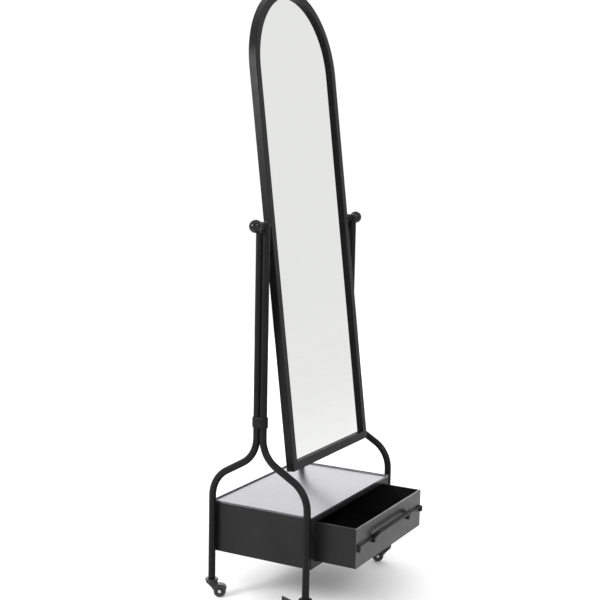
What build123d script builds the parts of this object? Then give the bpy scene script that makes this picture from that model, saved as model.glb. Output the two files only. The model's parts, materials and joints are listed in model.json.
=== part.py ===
from build123d import *
from math import atan2, cos, radians, sin, tan
import os

os.makedirs("parts", exist_ok=True)

# A cheval floor mirror: an arched tilting mirror between two twin-tube posts, a sheet-steel
# cabinet with one drawer between the four legs, and four small swivel casters.
# Millimetres. X runs left to right, -Y is the front, +Z is up, the floor is Z = 0.

# ---- driving dimensions -------------------------------------------------------------------
# Tube stand
tube_d = 20.0
tube_wall = 1.5
leg_setback = 8.0        # leg centres from the front and back of the cabinet
twin_gap = 0.3           # between the two tubes of one post
bend_over = 198.0        # from the cabinet's top up to where the post's upper bend starts
upper_bend_r = 85.0
lower_bend_r = 90.0
bend_turn = 60.0         # each bend turns the tube this far, degrees
collar_over = 31.0       # from the upper bend up to the collar
collar_h = 29.0
collar_wall = 3.0
collar_fillet = 2.1

# Pivot heads on the posts
head_over = 10.0         # head above the pivot axis
head_under = 20.0        # head below the pivot axis
head_fillet = 6.0
spigot_l = 30.0
bush_wall = 2.0
stud_d = 8.0
stud_chamfer = 1.0
stud_end_gap = 1.0       # from the inner face of the pivot block to the stud's tip
washer_d = 22.0
washer_t = 1.5
knob_d = 36.0
knob_neck_d = 15.0
knob_neck_l = 27.2       # from the neck's face to the ball's centre
spacer_d = 16.0
spacer_l = 18.2
body_gap = 0.3           # between faces of pieces that move against each other

# Mirror
mirror_tilt = 7.2        # top leaning back, degrees
mirror_w = 460.0
mirror_below = 670.0     # bottom edge below the pivot, along the mirror
mirror_clear = 106.0     # upright mirror above the cabinet
arch_up = 420.0          # arch centre above the pivot, along the mirror
frame_face = 23.0        # width of the frame seen from the front
frame_depth = 23.0
frame_wall = 2.0
glass_recess = 10.4      # glass behind the front of the frame
glass_t = 4.0
glass_lap = 6.0          # glass beyond the visible opening
backing_t = 3.0
backing_gap = 0.5
pivot_depth = 8.0        # pivot axis behind the front of the frame
tab_l = 16.0
tab_reach = 14.0
tab_t = 1.2
tab_gap = 0.2
tab_first = 140.0        # from the pivot to the nearest tabs
tab_pitch = 210.0
tab_margin = 70.0        # at least, from the last tab to the end of a straight side
tab_arch_angles = (50.0, 90.0, 130.0)
block_l = 26.0
block_w = 13.0

# Cabinet
cab_d = 316.0
cab_over_foot = 79.0     # underside above the tops of the casters
leg_spacer_t = 2.0       # between the side panels and the legs
frame_under = 14.5       # front frame below, above and beside the drawer's opening
frame_over = 12.5
frame_beside = 28.0
sheet = 1.5
rim_h = 4.0
rim_fillet = 0.5
edge_fillet = 1.0

# Drawer
drawer_h = 109.0
drawer_behind = 18.0     # cabinet depth left behind the drawer when it is shut
drawer_gap = 2.0         # all round, in the opening
drawer_lip = 5.0
drawer_open = 119.5      # how far it stands open
drawer_sheet = 1.5

# Drawer rails
rail_h = 18.0
rail_up = 37.0           # centre above the underside of the drawer
rail_off = 3.0           # from the side of the drawer to the rail
rail_clear = 0.5
slide_bar_t = 3.0
slide_bar_l = 90.0
pad_l = 24.0
buffer_d = 12.0
buffer_fillet = 1.5

# Handle
rod_d = 5.0
rod_out = 5.0            # rod axis in front of the drawer
rod_up = 61.0            # rod axis above the underside of the drawer
rod_inset = 7.0          # end bosses from the edges of the drawer
boss_w = 12.0
boss_h = 19.0
boss_t = 9.0
boss_drop = 6.5          # boss centre below the rod axis
boss_fillet = 2.5
end_stud_d = 4.0
end_stud_over = 1.0      # beyond the nut
nut_w = 8.0
nut_t = 3.2
grip_d = 12.0
grip_half = 118.0
grip_rise = 13.0         # bar of the grip above and in front of the rod
grip_out = 10.0
grip_start = 3.0         # legs of the grip start this far from the rod axis
grip_bend_r = 12.0
clamp_w = 13.0
clamp_h = 22.0
clamp_t = 9.0
clamp_drop = 4.0         # clamp centre below the rod axis
clamp_fillet = 1.5

# Casters
wheel_d = 35.0
wheel_w = 14.0
trail = 23.0
socket_d = 37.0
socket_h = 6.0
socket_fillet = 1.5
crown_d = 33.0
crown_h = 5.0
crown_gap = 0.5
crown_fillet = 2.0
cheek_root_w = 24.0      # cheeks where they meet the crown
caster_head = 18.5       # top of the caster above its wheel
cheek_t = 2.2
cheek_gap = 1.0
kingpin_d = 8.0
axle_d = 6.0
plug_l = 32.0
run_fit = 0.05           # radial clearance of a pin turning in its hole
push_fit = 0.1           # radial clearance of a plug in its tube
loose_fit = 0.15         # radial clearance of the stud through washers, spacers and frame
kingpin_head_d = 11.0
kingpin_head_t = 1.5
cheek_end_r = 8.0
hood_gap = 1.6
hood_start = 165.0       # degrees round the axle, from the trailing side
hood_end_free = 25.0
hood_end_braked = 96.0
rivet_d = 9.0
rivet_t = 1.5
tread_fillet = 3.0
sunk_outer_r = 12.0
sunk_inner_r = 6.0
sunk_t = 2.0
pedal_pin_d = 4.0
pedal_pin_ahead = 7.0    # from the axle towards the trailing side
pedal_pin_over = 4.5     # above the wheel
pedal_reach = 64.0
pedal_step = 39.0        # where the pedal widens
pedal_lift = 24.0        # upward slope of the raised pedal, degrees
pedal_w = 25.0
pedal_t = 3.0
knuckle_r = 3.5
shoe_r = 2.0
shoe_out = 3.8           # shoe centre from the pedal pin
shoe_turn = 40.0         # ahead of the line from the pin to the axle, degrees

# Fasteners
screw_d = 5.9
screw_head_d = 11.0
screw_head_h = 3.0
insert_d = 8.8
insert_l = 9.0
leg_spacer_d = 16.0
leg_screw_up = 32.5      # lower screws above the underside of the cabinet
leg_screw_down = 33.0    # upper screws below the top of the cabinet

# ---- derived places -----------------------------------------------------------------------
tube_r = tube_d / 2
bore_r = tube_r - tube_wall
twin_y = tube_r + twin_gap / 2
leg_x = mirror_w / 2 + spacer_l + body_gap + washer_t + tube_r
leg_y = cab_d / 2 - leg_setback
side_x = leg_x - tube_r - leg_spacer_t
cab_w = 2 * side_x
opening_x = side_x - frame_beside
wheel_r = wheel_d / 2
leg_foot_z = wheel_d + caster_head
pedal_pin_z = wheel_d + pedal_pin_over
cab_z = leg_foot_z + cab_over_foot
drawer_w = 2 * (opening_x - drawer_gap)
drawer_l = cab_d - drawer_behind
drawer_z = cab_z + frame_under + drawer_gap
rail_z = drawer_z + rail_up
rod_z = drawer_z + rod_up
boss_z = rod_z - boss_drop
top_plate_z = drawer_z + drawer_h + drawer_gap + frame_over
cab_top_z = top_plate_z + sheet + rim_h
leg_screw_z = (cab_z + leg_screw_up, cab_top_z - leg_screw_down)
bend_top_z = cab_top_z + bend_over
collar_z = bend_top_z + collar_over
pivot_z = cab_top_z + mirror_clear + mirror_below
drawer_shut_y = -cab_d / 2
drawer_face_y = drawer_shut_y - drawer_open
drawer_front_most = drawer_face_y - rod_out - grip_out - grip_d / 2
back_most = leg_y + socket_d / 2
# The origin stands on the floor at the middle of the whole outline, so the middle of the
# cabinet and the posts is this far behind it.
mid_y = -(drawer_front_most + back_most) / 2
front_y = mid_y + drawer_face_y
head_top_z = pivot_z + head_over
head_low_z = pivot_z - head_under


def publish(part, name):
    """Label a finished piece and write its STEP file."""
    part.label = name
    export_step(part, f"parts/{name}.step")


def facing_back(x, y, z):
    """Upright plane that looks backwards: local x is X."""
    return Plane(origin=(x, y, z), x_dir=(1, 0, 0), z_dir=(0, 1, 0))


def side_sign(side):
    """-1 for the left of the object, +1 for the right."""
    return -1 if side == "left" else 1


# ---- legs: one bent tube runs from the caster to the top of the post ----------------------
run_out = leg_y - twin_y
bend_out = (upper_bend_r + lower_bend_r) * (1 - cos(radians(bend_turn)))
slope_l = (run_out - bend_out) / sin(radians(bend_turn))


def leg_plane(x, facing):
    """Plane across one leg: its x axis points away from the post, its y axis points up."""
    return Plane(origin=(x, mid_y, 0), x_dir=(0, facing, 0), z_dir=(facing, 0, 0))


def make_leg(name, x, facing):
    """A bent tube with holes for the two cabinet screws."""
    plane = leg_plane(x, facing)
    inward = Vector(-1 if x > 0 else 1, 0, 0)
    with BuildPart() as leg:
        with BuildLine(plane) as path:
            post = Line((twin_y, head_low_z), (twin_y, bend_top_z))
            upper = JernArc(start=post @ 1, tangent=(0, -1), radius=upper_bend_r, arc_size=bend_turn)
            slope = PolarLine(start=upper @ 1, length=slope_l, angle=bend_turn - 90)
            lower = JernArc(start=slope @ 1, tangent=slope % 1, radius=lower_bend_r, arc_size=-bend_turn)
            Line(lower @ 1, (leg_y, leg_foot_z))
        with BuildSketch(Plane(origin=path.line @ 0, z_dir=path.line % 0)):
            Circle(tube_r)
            Circle(bore_r, mode=Mode.SUBTRACT)
        sweep()
        for z in leg_screw_z:
            hole_centre = Vector(x, mid_y + facing * leg_y, z)
            with BuildSketch(Plane(origin=hole_centre, z_dir=inward)):
                Circle(insert_d / 2 + push_fit)
            extrude(amount=tube_d, mode=Mode.SUBTRACT)
    publish(leg.part, name)


for side in ("left", "right"):
    make_leg(f"{side}_front_leg", side_sign(side) * leg_x, -1)
    make_leg(f"{side}_back_leg", side_sign(side) * leg_x, 1)


# ---- collars that hold each pair of tubes together ----------------------------------------
def twin_outline(grow):
    """Outline round both tubes of a post, grown by a margin."""
    SlotCenterToCenter(2 * twin_y, tube_d + 2 * grow, rotation=90)


with BuildPart() as collars:
    for side in ("left", "right"):
        with BuildSketch(Plane.XY.offset(collar_z)):
            with Locations((side_sign(side) * leg_x, mid_y)):
                twin_outline(collar_wall)
        extrude(amount=collar_h)
    fillet(collars.faces().filter_by(Axis.Z).edges(), collar_fillet)
    for side in ("left", "right"):
        post_x = side_sign(side) * leg_x
        with BuildSketch(Plane.XY.offset(collar_z)):
            with Locations((post_x, mid_y - twin_y), (post_x, mid_y + twin_y)):
                Circle(tube_r + push_fit)
        extrude(amount=collar_h, mode=Mode.SUBTRACT)
publish(collars.part, "post_collars")


# ---- pivot heads: one closes each pair of tubes and carries the pivot ---------------------
def make_head(name, x):
    """A block over the twin tubes with a spigot in each and the bush bore across it."""
    with BuildPart() as head:
        with BuildSketch(Plane.XY.offset(head_low_z)):
            with Locations((x, mid_y)):
                twin_outline(0)
        extrude(amount=head_top_z - head_low_z)
        fillet(head.faces().sort_by(Axis.Z)[-1].edges(), head_fillet)
        with BuildSketch(Plane.XY.offset(head_low_z - spigot_l)):
            with Locations((x, mid_y - twin_y), (x, mid_y + twin_y)):
                Circle(bore_r - push_fit)
        extrude(amount=spigot_l)
        with BuildSketch(Plane(origin=(x - tube_d, mid_y, pivot_z), z_dir=(1, 0, 0))):
            Circle(stud_d / 2 + run_fit + bush_wall + push_fit)
        extrude(amount=2 * tube_d, mode=Mode.SUBTRACT)
    publish(head.part, name)


make_head("left_pivot_head", -leg_x)
make_head("right_pivot_head", leg_x)


def ring_along_x(x0, length, outer_r, inner_r):
    """A round sleeve on the pivot axis, from x0 towards +X."""
    with BuildSketch(Plane(origin=(x0, mid_y, pivot_z), z_dir=(1, 0, 0))) as ring:
        Circle(outer_r)
        Circle(inner_r, mode=Mode.SUBTRACT)
    extrude(ring.sketch, amount=length)


bush_bore_r = stud_d / 2 + run_fit
with BuildPart() as bushes:
    for x in (-leg_x, leg_x):
        ring_along_x(x - tube_r, tube_d, bush_bore_r + bush_wall, bush_bore_r)
publish(bushes.part, "pivot_bushes")

with BuildPart() as washers:
    for x in (-leg_x, leg_x):
        for face_x in (x - tube_r - washer_t, x + tube_r):
            ring_along_x(face_x, washer_t, washer_d / 2, stud_d / 2 + loose_fit)
publish(washers.part, "pivot_washers")

# ---- mirror, built upright about the pivot and then leaned back ----------------------------
glass_half_w = mirror_w / 2 - frame_face + glass_lap
frame_front = -pivot_depth
pivot_axis = Axis((0, mid_y, pivot_z), (1, 0, 0))


def arch_outline(inset):
    """The mirror's outline, straight below and a half circle above, moved inwards by inset."""
    half_w = mirror_w / 2 - inset
    foot = -mirror_below + inset
    with BuildLine() as edge:
        Polyline((-half_w, arch_up), (-half_w, foot), (half_w, foot), (half_w, arch_up))
        ThreePointArc((half_w, arch_up), (0, arch_up + half_w), (-half_w, arch_up))
    make_face(edge.line)


def mirror_plane(depth):
    """Plane parallel to the upright mirror, so far behind the front of its frame."""
    front = (0, mid_y + frame_front + depth, pivot_z)
    return Plane(origin=front, x_dir=(1, 0, 0), z_dir=(0, -1, 0))


def lean(part):
    """Turn an upright mirror piece to its resting tilt."""
    return part.rotate(pivot_axis, -mirror_tilt)


def mirror_layer(depth, thickness, inset, mode=Mode.ADD):
    """A slab of the mirror's outline, from one depth backwards."""
    with BuildSketch(mirror_plane(depth + thickness)) as outline:
        arch_outline(inset)
    extrude(outline.sketch, amount=thickness, mode=mode)


with BuildPart() as mirror_frame:
    mirror_layer(0, frame_depth, 0)
    fillet(mirror_frame.faces().sort_by(Axis.Y)[0].edges(), edge_fillet)
    mirror_layer(frame_wall, frame_depth - frame_wall, frame_wall, Mode.SUBTRACT)
    mirror_layer(frame_wall, glass_recess - frame_wall, frame_face - frame_wall)
    mirror_layer(0, frame_depth, frame_face, Mode.SUBTRACT)
    with BuildSketch(Plane(origin=(-mirror_w, mid_y, pivot_z), z_dir=(1, 0, 0))):
        Circle(stud_d / 2 + loose_fit)
    extrude(amount=2 * mirror_w, mode=Mode.SUBTRACT)
publish(lean(mirror_frame.part), "mirror_frame")

with BuildPart() as mirror_glass:
    mirror_layer(glass_recess, glass_t, frame_face - glass_lap)
publish(lean(mirror_glass.part), "mirror_glass")

with BuildPart() as mirror_backing:
    mirror_layer(glass_recess + glass_t, backing_t, frame_wall + backing_gap)
publish(lean(mirror_backing.part), "mirror_backing")

with BuildPart() as pivot_blocks:
    block_depth = glass_recess + glass_t - frame_wall - backing_gap
    for sign in (-1, 1):
        block_x = sign * (mirror_w / 2 - frame_wall - block_w / 2)
        with BuildSketch(mirror_plane(frame_wall + block_depth)):
            with Locations((block_x, 0)):
                Rectangle(block_w, block_l)
        extrude(amount=block_depth)
    with BuildSketch(Plane(origin=(-mirror_w, mid_y, pivot_z), z_dir=(1, 0, 0))):
        Circle(stud_d / 2 + run_fit)
    extrude(amount=2 * mirror_w, mode=Mode.SUBTRACT)
publish(lean(pivot_blocks.part), "pivot_blocks")

with BuildPart() as pivot_spacers:
    for x0 in (-mirror_w / 2 - spacer_l, mirror_w / 2):
        ring_along_x(x0, spacer_l, spacer_d / 2, stud_d / 2 + loose_fit)
publish(lean(pivot_spacers.part), "pivot_spacers")


def tab_place(x, up, out_x, out_up):
    """Section plane of a backing tab: local x points at the frame's rim, local y backwards."""
    return Plane(
        origin=(x, mid_y + frame_front + glass_recess + glass_t + backing_t, pivot_z + up),
        x_dir=(out_x, 0, out_up),
        z_dir=(-out_up, 0, out_x),
    )


def tab_spots(reach):
    """Distances from the pivot of the tabs on a straight side of this length."""
    extra = int((reach - tab_margin - tab_first) // tab_pitch)
    return [tab_first + tab_pitch * k for k in range(extra + 1)]


tab_edge = frame_wall + tab_gap
tab_side_z = [-down for down in tab_spots(mirror_below)] + tab_spots(arch_up)
arch_r = mirror_w / 2 - tab_edge
tab_places = [tab_place(sign * arch_r, up, sign, 0) for sign in (-1, 1) for up in tab_side_z]
tab_places += [tab_place(x, tab_edge - mirror_below, 0, -1) for x in (-mirror_w / 4, mirror_w / 4)]
for tab_angle in tab_arch_angles:
    out_x, out_up = cos(radians(tab_angle)), sin(radians(tab_angle))
    tab_places.append(tab_place(arch_r * out_x, arch_up + arch_r * out_up, out_x, out_up))
tab_high = frame_depth - glass_recess - glass_t - backing_t - tab_t
with BuildPart() as backing_tabs:
    for place in tab_places:
        with BuildSketch(place):
            with BuildLine():
                Polyline((-tab_reach, 0), (0, 0), (0, tab_high), (-tab_t, tab_high),
                         (-tab_t, tab_t), (-tab_reach, tab_t), close=True)
            make_face()
        extrude(amount=tab_l / 2, both=True)
publish(lean(backing_tabs.part), "backing_tabs")


# ---- clamp knobs: a ball on a stud that runs through the head into the mirror frame --------
def make_knob(side):
    """Ball knob with its neck, and the stud screwed into it."""
    sign = side_sign(side)
    neck_x = leg_x + tube_r + washer_t + body_gap
    ball_x = neck_x + knob_neck_l
    neck_r = knob_neck_d / 2
    # Local x runs outboard along the pivot axis, local y is the radius.
    profile = Plane(origin=(0, mid_y, pivot_z), x_dir=(sign, 0, 0), z_dir=(0, -sign, 0))
    spin_axis = Axis((0, mid_y, pivot_z), (1, 0, 0))
    with BuildPart() as knob:
        with BuildSketch(profile):
            with Locations((ball_x, 0)):
                Circle(knob_d / 2)
            with BuildLine():
                Polyline((neck_x, 0), (neck_x, neck_r), (ball_x, neck_r), (ball_x, 0), close=True)
            make_face()
            with Locations((ball_x, -knob_d)):
                Rectangle(3 * knob_d, 2 * knob_d, mode=Mode.SUBTRACT)
        revolve(axis=spin_axis)
        with BuildSketch(Plane(origin=(sign * neck_x, mid_y, pivot_z), z_dir=(sign, 0, 0))):
            Circle(stud_d / 2)
        extrude(amount=ball_x - neck_x, mode=Mode.SUBTRACT)
    publish(knob.part, f"{side}_knob")
    stud_in = mirror_w / 2 - frame_wall - block_w + stud_end_gap
    with BuildPart() as stud:
        with BuildSketch(Plane(origin=(sign * stud_in, mid_y, pivot_z), z_dir=(sign, 0, 0))):
            Circle(stud_d / 2)
        extrude(amount=ball_x - stud_in)
        chamfer(stud.edges().sort_by(Axis.X)[0 if sign > 0 else -1], stud_chamfer)
    publish(stud.part, f"{side}_pivot_stud")


make_knob("left")
make_knob("right")


# ---- cabinet: welded sheet panels between the legs ----------------------------------------
def slab(low, high):
    """A block between two opposite corners, given about the middle of the cabinet."""
    with BuildSketch(Plane.XY.offset(low[2])) as footprint:
        with Locations(((low[0] + high[0]) / 2, mid_y + (low[1] + high[1]) / 2)):
            Rectangle(high[0] - low[0], high[1] - low[1])
    extrude(footprint.sketch, amount=high[2] - low[2])


def screw_holes(radius):
    """Holes across X for the screws that fix the cabinet to the legs."""
    for facing in (-1, 1):
        for z in leg_screw_z:
            with BuildSketch(Plane(origin=(-side_x, mid_y + facing * leg_y, z), z_dir=(1, 0, 0))) as hole:
                Circle(radius)
            extrude(hole.sketch, amount=cab_w, mode=Mode.SUBTRACT)


inner_x = side_x - sheet
half_d = cab_d / 2

with BuildPart() as cabinet_top:
    slab((-side_x, -half_d, top_plate_z), (side_x, half_d, cab_top_z))
    fillet(cabinet_top.edges().filter_by(Axis.Z), edge_fillet)
    with BuildSketch(Plane.XY.offset(top_plate_z + sheet)):
        with Locations((0, mid_y)):
            Rectangle(cab_w - 2 * sheet, cab_d - 2 * sheet)
    extrude(amount=rim_h, mode=Mode.SUBTRACT)
    fillet(cabinet_top.faces().sort_by(Axis.Z)[-1].edges(), rim_fillet)
publish(cabinet_top.part, "cabinet_top")

for side in ("left", "right"):
    near_x, far_x = sorted((side_sign(side) * inner_x, side_sign(side) * side_x))
    with BuildPart() as cabinet_side:
        slab((near_x, -half_d, cab_z), (far_x, half_d, top_plate_z))
        screw_holes(screw_d / 2 + push_fit)
    publish(cabinet_side.part, f"cabinet_{side}_side")

with BuildPart() as cabinet_back:
    slab((-inner_x, half_d - sheet, cab_z), (inner_x, half_d, top_plate_z))
publish(cabinet_back.part, "cabinet_back")

with BuildPart() as cabinet_bottom:
    slab((-inner_x, sheet - half_d, cab_z), (inner_x, half_d - sheet, cab_z + sheet))
publish(cabinet_bottom.part, "cabinet_bottom")

with BuildPart() as cabinet_front_frame:
    slab((-inner_x, -half_d, cab_z), (inner_x, sheet - half_d, top_plate_z))
    with BuildSketch(facing_back(0, mid_y - half_d, drawer_z + drawer_h / 2)):
        Rectangle(2 * opening_x, drawer_h + 2 * drawer_gap)
    extrude(amount=sheet, mode=Mode.SUBTRACT)
publish(cabinet_front_frame.part, "cabinet_front_frame")

# Spacers, screws and threaded inserts between the side panels and the legs
leg_face_x = leg_x - tube_r
fixing_spots = [(sign, facing, z) for sign in (-1, 1) for facing in (-1, 1) for z in leg_screw_z]


def across(sign, facing, z, from_x):
    """Plane at a cabinet fixing, looking outboard."""
    return Plane(origin=(sign * from_x, mid_y + facing * leg_y, z), z_dir=(sign, 0, 0))


with BuildPart() as leg_spacers:
    for sign, facing, z in fixing_spots:
        with BuildSketch(across(sign, facing, z, side_x)):
            Circle(leg_spacer_d / 2)
            Circle(screw_d / 2 + push_fit, mode=Mode.SUBTRACT)
        extrude(amount=leg_spacer_t)
publish(leg_spacers.part, "leg_spacers")

with BuildPart() as leg_inserts:
    for sign, facing, z in fixing_spots:
        with BuildSketch(across(sign, facing, z, leg_face_x)):
            Circle(insert_d / 2)
            Circle(screw_d / 2 + run_fit, mode=Mode.SUBTRACT)
        extrude(amount=insert_l)
publish(leg_inserts.part, "leg_inserts")

with BuildPart() as leg_screws:
    for sign, facing, z in fixing_spots:
        with BuildSketch(across(sign, facing, z, inner_x - screw_head_h)):
            Circle(screw_head_d / 2)
        extrude(amount=screw_head_h)
        with BuildSketch(across(sign, facing, z, inner_x)):
            Circle(screw_d / 2)
        extrude(amount=leg_face_x + insert_l - inner_x)
publish(leg_screws.part, "leg_screws")

# ---- drawer rails and stops ---------------------------------------------------------------
rail_in_x = drawer_w / 2 + rail_off
for side in ("left", "right"):
    near_x, far_x = sorted((side_sign(side) * rail_in_x, side_sign(side) * inner_x))
    lip_x = sorted((side_sign(side) * rail_in_x, side_sign(side) * (inner_x - sheet)))
    with BuildPart() as rail:
        slab(
            (near_x, sheet - half_d, rail_z - rail_h / 2),
            (far_x, half_d - sheet, rail_z + rail_h / 2),
        )
        with BuildSketch(facing_back(0, mid_y - half_d, rail_z)):
            with Locations(((lip_x[0] + lip_x[1]) / 2, 0)):
                Rectangle(lip_x[1] - lip_x[0], rail_h - 2 * sheet)
        extrude(amount=cab_d, mode=Mode.SUBTRACT)
    publish(rail.part, f"{side}_drawer_rail")

buffer_l = drawer_behind - sheet - body_gap
with BuildPart() as drawer_buffers:
    for x in (-drawer_w / 4, drawer_w / 4):
        buffer_seat = (x, mid_y + half_d - sheet, drawer_z + drawer_h / 2)
        with BuildSketch(Plane(origin=buffer_seat, z_dir=(0, -1, 0))):
            Circle(buffer_d / 2)
        extrude(amount=buffer_l)
    fillet(drawer_buffers.faces().filter_by(Axis.Y).edges(), buffer_fillet)
publish(drawer_buffers.part, "drawer_buffers")

# ---- drawer -------------------------------------------------------------------------------
drawer_x = drawer_w / 2
drawer_top_z = drawer_z + drawer_h
drawer_back_y = drawer_face_y + drawer_l

with BuildPart() as drawer_front:
    slab(
        (-drawer_x, drawer_face_y, drawer_z),
        (drawer_x, drawer_face_y + drawer_sheet, drawer_top_z),
    )
    slab(
        (-drawer_x, drawer_face_y, drawer_top_z - drawer_sheet),
        (drawer_x, drawer_face_y + drawer_lip, drawer_top_z),
    )
    for x in (rod_inset - drawer_x, drawer_x - rod_inset):
        with BuildSketch(facing_back(x, front_y, boss_z)):
            Circle(end_stud_d / 2 + push_fit)
        extrude(amount=drawer_sheet, mode=Mode.SUBTRACT)
publish(drawer_front.part, "drawer_front")

for side in ("left", "right"):
    sign = side_sign(side)
    wall_x = sorted((sign * (drawer_x - drawer_sheet), sign * drawer_x))
    lip_x = sorted((sign * (drawer_x - drawer_lip), sign * drawer_x))
    with BuildPart() as drawer_side:
        slab(
            (wall_x[0], drawer_face_y + drawer_sheet, drawer_z),
            (wall_x[1], drawer_back_y - drawer_sheet, drawer_top_z - drawer_sheet),
        )
        slab(
            (lip_x[0], drawer_face_y + drawer_lip, drawer_top_z - drawer_sheet),
            (lip_x[1], drawer_back_y - drawer_sheet, drawer_top_z),
        )
    publish(drawer_side.part, f"drawer_{side}_side")

with BuildPart() as drawer_back:
    slab(
        (-drawer_x, drawer_back_y - drawer_sheet, drawer_z),
        (drawer_x, drawer_back_y, drawer_top_z),
    )
publish(drawer_back.part, "drawer_back")

with BuildPart() as drawer_bottom:
    slab(
        (drawer_sheet - drawer_x, drawer_face_y + drawer_sheet, drawer_z),
        (drawer_x - drawer_sheet, drawer_back_y - drawer_sheet, drawer_z + drawer_sheet),
    )
publish(drawer_bottom.part, "drawer_bottom")

# Slide bars on the drawer's rear half, with nylon pads above and below that run in the rails.
# Fully open, the bars meet the back of the front frame.
bar_out_x = inner_x - sheet - rail_clear
with BuildPart() as slide_bars:
    for sign in (-1, 1):
        near_x, far_x = sorted((sign * drawer_x, sign * bar_out_x))
        slab(
            (near_x, drawer_back_y - slide_bar_l, rail_z - slide_bar_t / 2),
            (far_x, drawer_back_y, rail_z + slide_bar_t / 2),
        )
publish(slide_bars.part, "drawer_slide_bars")

pad_half_h = rail_h / 2 - sheet - rail_clear
with BuildPart() as glide_pads:
    for sign in (-1, 1):
        near_x, far_x = sorted((sign * (rail_in_x + rail_clear), sign * bar_out_x))
        for pad_y in (drawer_back_y - pad_l, drawer_back_y - slide_bar_l):
            for low_z in (rail_z + slide_bar_t / 2, rail_z - pad_half_h):
                pad_t = pad_half_h - slide_bar_t / 2
                slab((near_x, pad_y, low_z), (far_x, pad_y + pad_l, low_z + pad_t))
publish(glide_pads.part, "drawer_glide_pads")

# ---- drawer handle: a rod between two end bosses, with a raised grip clamped on it ---------
rod_y = front_y - rod_out
rod_half = drawer_x - rod_inset


def upright_slot(x, y, z, width, height, thickness, edge_fillet_r):
    """A tall block with round ends, from y backwards, with its front and back edges rounded."""
    with BuildSketch(facing_back(x, y, z)) as outline:
        SlotOverall(height, width, rotation=90)
    block = extrude(outline.sketch, amount=thickness)
    front_edges = block.faces().sort_by(Axis.Y)[0].edges()
    fillet(front_edges, edge_fillet_r)


def rod_hole():
    """The rod's hole along X, through whatever is being built."""
    with BuildSketch(Plane(origin=(-rod_half, rod_y, rod_z), z_dir=(1, 0, 0))) as hole:
        Circle(rod_d / 2 + push_fit)
    extrude(hole.sketch, amount=2 * rod_half, mode=Mode.SUBTRACT)


with BuildPart() as handle_rod:
    with BuildSketch(Plane(origin=(-rod_half, rod_y, rod_z), z_dir=(1, 0, 0))):
        Circle(rod_d / 2)
    extrude(amount=2 * rod_half)
publish(handle_rod.part, "handle_rod")

with BuildPart() as end_bosses:
    for x in (-rod_half, rod_half):
        upright_slot(x, front_y - boss_t, boss_z, boss_w, boss_h, boss_t, boss_fillet)
        with BuildSketch(facing_back(x, front_y, boss_z)):
            Circle(end_stud_d / 2)
        extrude(amount=drawer_sheet + nut_t + end_stud_over)
    rod_hole()
publish(end_bosses.part, "handle_end_bosses")

with BuildPart() as handle_nuts:
    for x in (-rod_half, rod_half):
        with BuildSketch(facing_back(x, front_y + drawer_sheet, boss_z)):
            RegularPolygon(nut_w / 2, 6, major_radius=False)
            Circle(end_stud_d / 2 + run_fit, mode=Mode.SUBTRACT)
        extrude(amount=nut_t)
publish(handle_nuts.part, "handle_nuts")

grip_leg = (grip_out ** 2 + grip_rise ** 2) ** 0.5
grip_plane = Plane(
    origin=(0, rod_y, rod_z),
    x_dir=(1, 0, 0),
    z_dir=(0, -grip_rise / grip_leg, -grip_out / grip_leg),
)
clamp_front_y = rod_y - clamp_t / 2
with BuildPart() as handle_grip:
    for x in (-grip_half, grip_half):
        upright_slot(x, clamp_front_y, rod_z - clamp_drop, clamp_w, clamp_h, clamp_t, clamp_fillet)
    with BuildLine(grip_plane) as grip_path:
        FilletPolyline(
            (-grip_half, grip_start),
            (-grip_half, grip_leg),
            (grip_half, grip_leg),
            (grip_half, grip_start),
            radius=grip_bend_r,
        )
    with BuildSketch(Plane(origin=grip_path.line @ 0, z_dir=grip_path.line % 0)):
        Circle(grip_d / 2)
    sweep()
    rod_hole()
publish(handle_grip.part, "handle_grip")

# ---- casters ------------------------------------------------------------------------------
# name: (x side, y side, which way the wheel trails in degrees from +X, has a brake pedal)
casters = {
    "front_left": (-1, -1, 118.0, True),
    "front_right": (1, -1, 118.0, True),
    "back_left": (-1, 1, -62.0, False),
    "back_right": (1, 1, -78.0, False),
}
socket_low_z = leg_foot_z - socket_h
crown_top_z = socket_low_z - crown_gap
crown_low_z = crown_top_z - crown_h
cheek_in = wheel_w / 2 + cheek_gap
cheek_out = cheek_in + cheek_t
pedal_pin_x = trail + pedal_pin_ahead


def caster_frame(x_side, y_side, angle):
    """Frame of a caster on the floor under its leg: local x points where the wheel trails."""
    return Plane(
        origin=(x_side * leg_x, mid_y + y_side * leg_y, 0),
        x_dir=(cos(radians(angle)), sin(radians(angle)), 0),
        z_dir=(0, 0, 1),
    )


def beside(frame, offset):
    """Upright section plane of a caster, offset sideways: local x trails, local y is up."""
    place = frame.from_local_coords((0, offset, 0))
    return Plane(origin=place, x_dir=frame.x_dir, z_dir=-frame.y_dir)


with BuildPart() as sockets:
    for x_side, y_side, angle, _ in casters.values():
        frame = caster_frame(x_side, y_side, angle)
        with BuildSketch(frame.offset(socket_low_z)):
            Circle(socket_d / 2)
        disc = extrude(amount=socket_h)
        fillet(disc.edges(), socket_fillet)
        with BuildSketch(frame.offset(leg_foot_z)):
            Circle(bore_r - push_fit)
        extrude(amount=plug_l)
        with BuildSketch(frame.offset(crown_low_z - 2 * crown_gap)):
            Circle(kingpin_d / 2)
        extrude(amount=socket_low_z - crown_low_z + 2 * crown_gap)
        with BuildSketch(frame.offset(crown_low_z - crown_gap - kingpin_head_t)):
            Circle(kingpin_head_d / 2)
        extrude(amount=kingpin_head_t)
publish(sockets.part, "caster_sockets")


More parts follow.
